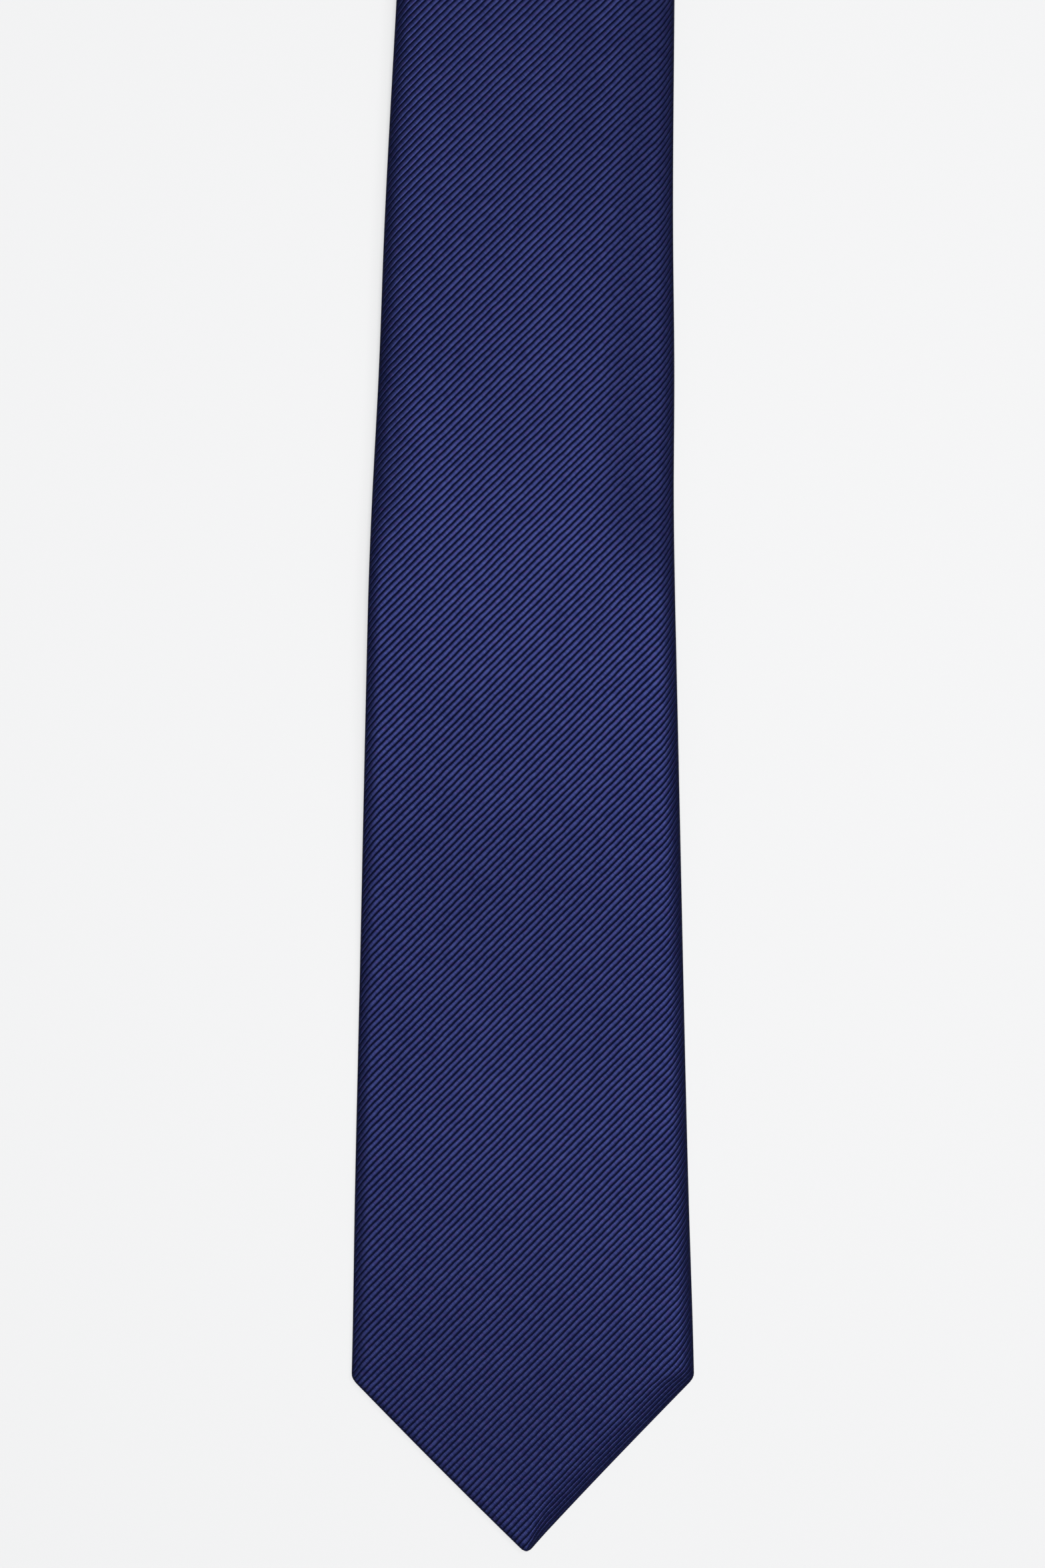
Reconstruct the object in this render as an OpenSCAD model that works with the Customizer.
// Necktie, folded in half at the neck band and laid flat: the front blade lies
// face up on top, the tail blade lies face down below it.
// X runs across the blades, Y from the front blade's tip to the neck fold, Z is up.
// The origin is the middle of the folded tie's footprint, on the surface it lies on.

/* [Front blade] */
// Width across the shoulders of the front blade
blade_w = 80; // [60:0.5:96]
// Length of the pointed end, from the tip to the shoulders
blade_point = 41; // [30:0.5:52]
// Width of the front blade where the tie is folded again for packing
pack_w = 61.9; // [50:0.1:76]
// Width at the seam between the front blade and the neck piece
front_seam_w = 49; // [40:0.5:60]
// Distance of that seam from the front tip
front_seam_y = 620; // [520:5:660]
// Distance of the front bar tack from the front tip
front_tack_y = 130; // [100:1:150]
// Width of the turned hem along the two edges of the point
hem = 7; // [4:0.5:11]

/* [Neck band] */
// Width of the narrow band that goes round the collar
neck_w = 36; // [28:0.5:44]
// Where the narrow band begins, from the front tip
neck_y = 770; // [720:5:800]
// Where the tie is folded in half, from the front tip
fold_y = 840; // [700:5:1008]

/* [Tail blade] */
// Width across the shoulders of the tail blade
tail_w = 44; // [36:0.5:54]
// Length of the tail's pointed end
tail_point = 22.5; // [18:0.5:28]
// How far the tail's tip stops short of the front tip
tail_short = 210; // [175:1:255]
// Width at the seam between the tail and the neck piece
tail_seam_w = 39; // [33:0.5:46]
// Distance of that seam from the front tip, measured on the folded tie
tail_seam_y = 560; // [480:5:640]
// Distance of the tail's bar tack from the tail's tip
tail_tack_y = 66; // [45:1:90]

/* [Cloth] */
// Thickness of the outer ribbed cloth
shell_t = 0.5; // [0.3:0.05:0.8]
// Thickness of the wool interlining
interlining_t = 1.6; // [0.8:0.1:2.4]
// Thickness of the tipping, the lining behind each point
tipping_t = 0.25; // [0.15:0.05:0.4]
// Free space between two layers
ease = 0.08; // [0.05:0.01:0.15]
// Width of the strip where the two back flaps overlap
overlap_w = 12; // [8:0.5:18]
// Thickness of the sewing thread
thread_t = 0.4; // [0.25:0.05:0.5]

/* [Loop and labels] */
// Width of the keeper loop, along the blade
keeper_w = 12; // [8:0.5:18]
// Distance of the keeper loop's lower edge from the front tip
keeper_y = 222; // [210:1:250]
// Thickness of the keeper loop
keeper_t = 0.6; // [0.4:0.05:1]
// Spare width inside the keeper loop, beside the tail blade
keeper_spare = 5; // [3:0.5:9]
// Width of the maker's label, across the blade
label_w = 50; // [36:1:56]
// Height of the maker's label, along the blade
label_h = 34; // [20:1:38]
// Distance of the maker's label's lower edge from the front tip
label_y = 164; // [158:1:168]
// Thickness of each label
label_t = 0.3; // [0.15:0.05:0.4]
// Width of the care label
care_w = 22; // [14:1:30]
// Length of the care label
care_h = 33; // [20:1:36]

/* [Lie] */
// Length over which the front blade rises off the surface
rise_run = 92; // [80:1:110]
// How far past the tail's tip the front blade is at its full height
rise_past = 2; // [0.5:0.5:5]
// Free space above and below the keeper loop
lie_gap = 0.2; // [0.15:0.05:0.4]
// Half of the space left between two pieces at a fold line
fold_gap = 0.25; // [0.15:0.05:0.4]

/* [Hidden] */

// Layers of one sleeve, as depths from the back's overlap towards the face
back_d = shell_t;                                  // outside of the back flaps
inside_d = back_d + shell_t;                       // inside of the back flaps
tipping_d = inside_d + ease;
interlining_d = tipping_d + tipping_t + ease;
cavity_end_d = interlining_d + interlining_t + ease;
sleeve_t = cavity_end_d + shell_t;                 // overlap to face, the whole sleeve

// Heights of the folded pair
front_z = sleeve_t + keeper_t + 2 * lie_gap;       // the front's overlap above the tail
bend_z = (sleeve_t + front_z) / 2;                 // centre of the neck fold
bend_r = front_z + sleeve_t - bend_z;              // outside of the neck fold
pack_y = fold_y / 2;                               // the second fold, for packing
mid_y = (fold_y + bend_r) / 2;

tail_tip_y = tail_short;
rise_end = tail_tip_y + rise_past;
rise_start = rise_end - rise_run;
tail_back_y = tail_tip_y + tail_tack_y;
keeper_inside_w = tail_w + keeper_spare;
tipping_run = 55;                                  // tipping hidden above the bar tack
seam_t = 0.3;                                      // thread and turned cloth of a seam
far = 1200;                                        // longer than any piece

// The line along which the front blade's overlap lies, as [y, z]
front_line = [[-1, -back_d], [rise_start, -back_d], [rise_end, front_z], [fold_y, front_z]];
tail_line = [[0, 0], [fold_y, 0]];

// Half widths along the two blades, as [y, half width], after the shoulders
front_side = [[pack_y, pack_w / 2], [front_seam_y, front_seam_w / 2],
              [neck_y, neck_w / 2], [fold_y + 1, neck_w / 2]];
tail_side = [[tail_seam_y, tail_seam_w / 2], [neck_y, neck_w / 2], [fold_y + 1, neck_w / 2]];

navy = [0.155, 0.185, 0.38];
navy_dark = [0.1, 0.12, 0.26];

// Right side of a pointed blade, drawn in by d, from the tip upwards
function side_points(tip, point, w, side, d) = concat(
    [[0, tip + d * sqrt(1 + pow(2 * point / w, 2))],
     [w / 2 - d, tip + (w / 2 - d) * 2 * point / w + d * sqrt(1 + pow(2 * point / w, 2))]],
    [for (p = side) [p[1] - d, p[0]]]);
function reversed(list) = [for (i = [len(list) - 1:-1:0]) list[i]];
function mirrored(list) = [for (p = reversed(list)) [-p[0], p[1]]];

module outline(front, d) {
    side = front ? side_points(0, blade_point, blade_w, front_side, d)
                 : side_points(tail_tip_y, tail_point, tail_w, tail_side, d);
    polygon(concat(side, [for (p = mirrored(side)) if (p[0] != 0) p]));
}

// The stretch from y0 to y1; an end with slant 1 runs diagonally, as a piecing seam does
module stretch(y0, y1, slant0 = 0, slant1 = 0) {
    b = blade_w;
    polygon([[-b, y0 - b * slant0], [b, y0 + b * slant0], [b, y1 + b * slant1], [-b, y1 - b * slant1]]);
}

// Everything between depths d0 and d1 of one blade's sleeve, over a plan given as children
module layer(front, d0, d1) {
    line = front ? front_line : tail_line;
    z0 = front ? d0 : sleeve_t - d1;
    z1 = front ? d1 : sleeve_t - d0;
    translate([0, -mid_y, 0])
    intersection() {
        rotate([90, 0, 90])
        linear_extrude(height = 2 * blade_w, center = true)
        polygon(concat([for (p = line) [p[0], p[1] + z0]],
                       [for (p = reversed(line)) [p[0], p[1] + z1]]));
        translate([0, 0, -sleeve_t])
        linear_extrude(height = 4 * bend_r)
        children();
    }
}

// The kite behind a point where the back flaps stand open and the tipping shows
module opening(front) {
    tip = front ? 0 : tail_tip_y;
    point = front ? blade_point : tail_point;
    half = (front ? blade_w : tail_w) / 2;
    tack = front ? front_tack_y : tail_back_y;
    h = hem * half / blade_w * 2;
    polygon([[0, tip + 1.5 * h], [half - 1.2 * h, tip + point + 0.3 * h],
             [0, tack - thread_t], [-half + 1.2 * h, tip + point + 0.3 * h]]);
}

// Outer cloth of one stretch: face, back, rolled edges, and the overlap of the flaps
module shell(front, y0, y1, slant0 = 0, slant1 = 0) {
    tack = front ? front_tack_y : tail_back_y;
    color(navy)
    difference() {
        union() {
            layer(front, back_d, sleeve_t) intersection() {
                outline(front, 0);
                stretch(y0, y1, slant0, slant1);
            }
            layer(front, 0, back_d) intersection() {
                stretch(y0, y1, slant0, slant1);
                translate([-overlap_w / 2, tack])
                    square([overlap_w, far]);
            }
        }
        layer(front, inside_d, cavity_end_d) outline(front, shell_t);
        layer(front, 0, inside_d + ease / 2) opening(front);
    }
}

module interlining(front, y0, y1)
    color("ivory")
    layer(front, interlining_d, interlining_d + interlining_t) intersection() {
        outline(front, shell_t + ease);
        stretch(y0, y1);
    }

module tipping(front)
    color(navy_dark)
    layer(front, tipping_d, tipping_d + tipping_t) intersection() {
        outline(front, shell_t + ease);
        stretch(0, (front ? front_tack_y : tail_back_y) + tipping_run);
    }

// The thin line of turned cloth and thread between two pieces of outer cloth
module piecing_seam(front, y)
    color(navy_dark)
    difference() {
        layer(front, back_d, sleeve_t) intersection() {
            outline(front, 0);
            stretch(y - seam_t, y + seam_t, 1, 1);
        }
        layer(front, inside_d, cavity_end_d) outline(front, shell_t);
    }

// One long thread in the corner beside the overlap of the back flaps
module slip_stitch(front, y0, y1)
    color("midnightblue")
    layer(front, back_d - thread_t, back_d)
        translate([overlap_w / 2, y0])
            square([thread_t, y1 - y0]);

module bar_tack(front)
    color("midnightblue")
    layer(front, 0, back_d)
        translate([-overlap_w / 3, (front ? front_tack_y : tail_back_y) - 3 * thread_t])
            square([overlap_w * 2 / 3, 3 * thread_t]);

// Half turn of one layer round the neck fold, between radii r0 and r1
module bend_ring(r0, r1, w)
    translate([0, fold_y - mid_y, bend_z])
    rotate([0, 90, 0])
    rotate_extrude(angle = 180, $fn = 96)
    translate([r0, -w / 2])
        square([r1 - r0, w]);

function bend_radius(depth) = front_z + depth - bend_z;

module front_shell_lower() shell(true, -1, pack_y - fold_gap);
module front_shell_upper() shell(true, pack_y + fold_gap, front_seam_y - seam_t, 0, 1);
module neck_shell_front() shell(true, front_seam_y + seam_t, fold_y, 1, 0);
module neck_shell_tail() shell(false, tail_seam_y + seam_t, fold_y, 1, 0);
module tail_shell_upper() shell(false, pack_y + fold_gap, tail_seam_y - seam_t, 0, 1);
module tail_shell_lower() shell(false, 0, pack_y - fold_gap);
module neck_bend_shell()
    color(navy)
    difference() {
        union() {
            bend_ring(bend_radius(back_d), bend_radius(sleeve_t), neck_w);
            bend_ring(bend_radius(0), bend_radius(back_d), overlap_w);
        }
        bend_ring(bend_radius(inside_d), bend_radius(cavity_end_d), neck_w - 2 * shell_t);
    }

module front_interlining_lower() interlining(true, 0, pack_y - fold_gap);
module front_interlining_upper() interlining(true, pack_y + fold_gap, fold_y);
module tail_interlining_upper() interlining(false, pack_y + fold_gap, fold_y);
module tail_interlining_lower() interlining(false, 0, pack_y - fold_gap);
module neck_bend_interlining()
    color("ivory")
    bend_ring(bend_radius(interlining_d), bend_radius(interlining_d + interlining_t),
              neck_w - 2 * shell_t - 2 * ease);

module front_tipping() tipping(true);
module tail_tipping() tipping(false);
module front_piecing_seam() piecing_seam(true, front_seam_y);
module tail_piecing_seam() piecing_seam(false, tail_seam_y);
module slip_stitch_front_lower() slip_stitch(true, front_tack_y, pack_y - fold_gap);
module slip_stitch_front_upper() slip_stitch(true, pack_y + fold_gap, fold_y);
module slip_stitch_tail_upper() slip_stitch(false, pack_y + fold_gap, fold_y);
module slip_stitch_tail_lower() slip_stitch(false, tail_back_y, pack_y - fold_gap);
module front_bar_tack() bar_tack(true);
module tail_bar_tack() bar_tack(false);

// A band across the back of the front blade, wide enough for the tail to slide through,
// that is turned in at both ends to meet the blade
keeper_end = 2;
module keeper_loop() {
    half = keeper_inside_w / 2;
    color(navy) {
        layer(true, -lie_gap - keeper_t, -lie_gap)
            translate([-half, keeper_y])
                square([2 * half, keeper_w]);
        for (side = [-1, 1])
            layer(true, -lie_gap - keeper_t, back_d)
                translate([side * (half + keeper_end / 2) - keeper_end / 2, keeper_y])
                    square([keeper_end, keeper_w]);
    }
}

module keeper_stitches()
    color("midnightblue")
    for (side = [-1, 1])
        layer(true, back_d - 2 * thread_t, back_d)
            translate([side * (keeper_inside_w / 2 + keeper_end + thread_t / 2) - thread_t / 2, keeper_y])
                square([thread_t, keeper_w]);

module maker_label()
    color("slategray")
    layer(true, -label_t, 0)
        translate([-label_w / 2, label_y])
            square([label_w, label_h]);

module label_stitches()
    color("lightsteelblue")
    for (side = [-1, 1])
        layer(true, -label_t, back_d)
            translate([side * (label_w / 2 + thread_t / 2) - thread_t / 2, label_y])
                square([thread_t, label_h]);

// The care label is held by its upper edge, just above the maker's label
care_top = label_y + label_h + 3;
module care_label()
    color("white")
    layer(true, -2 * label_t - ease, -label_t - ease)
        translate([-care_w / 2, care_top - care_h])
            square([care_w, care_h]);

front_shell_lower();
front_shell_upper();
neck_shell_front();
neck_shell_tail();
tail_shell_upper();
tail_shell_lower();
neck_bend_shell();
front_interlining_lower();
front_interlining_upper();
tail_interlining_upper();
tail_interlining_lower();
neck_bend_interlining();
front_tipping();
tail_tipping();
front_piecing_seam();
tail_piecing_seam();
slip_stitch_front_lower();
slip_stitch_front_upper();
slip_stitch_tail_upper();
slip_stitch_tail_lower();
front_bar_tack();
tail_bar_tack();
keeper_loop();
keeper_stitches();
maker_label();
label_stitches();
care_label();
